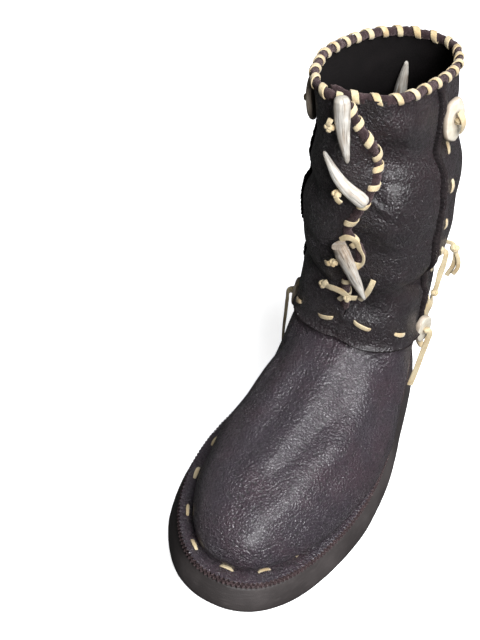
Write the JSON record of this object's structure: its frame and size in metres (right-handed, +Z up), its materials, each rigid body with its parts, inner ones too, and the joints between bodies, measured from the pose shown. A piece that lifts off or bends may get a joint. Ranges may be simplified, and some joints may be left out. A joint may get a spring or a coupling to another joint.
{
  "type": "laced moccasin boot",
  "caption": "Slouchy pull-on leather boot with a hard-wearing stitched-down sole, lapped front flap, antler-tip toggles, slice buttons and hanging thongs.",
  "frame": {"origin": "on the ground under the sole, half way along the line where the upper meets the sole", "axes": "+Y from toe to heel, +X to the lateral side of this left boot, +Z up"},
  "size_m": [0.1285, 0.309, 0.2848],
  "materials": {
    "oiled_leather": "oiled pebble grain",
    "suede_edge": "napped flesh side with pinked edge",
    "crepe_rubber": "matte speckled crepe",
    "antler": "polished bone-like antler",
    "buckskin": "napped pale thong"
  },
  "bodies": {
    "root": {"outsole": "crepe_rubber", "midsole": "suede_edge", "upper": "oiled_leather", "insole": "suede_edge", "toggle_top": "antler", "toggle_middle": "antler", "toggle_bottom": "antler", "toggle_tie_top": "buckskin", "toggle_tie_middle": "buckskin", "toggle_tie_bottom": "buckskin", "button_lateral_upper": "antler", "button_medial_upper": "antler", "button_lateral_lower": "antler", "button_medial_lower": "antler", "button_tie_lateral_upper": "buckskin", "button_tie_medial_upper": "buckskin", "button_tie_lateral_lower": "buckskin", "button_tie_medial_lower": "buckskin", "closing_loop": "buckskin", "slit_tie": "buckskin", "side_tie": "buckskin", "side_strand": "buckskin", "leaf": "buckskin", "inner_tip": "antler"}
  },
  "joints": []
}
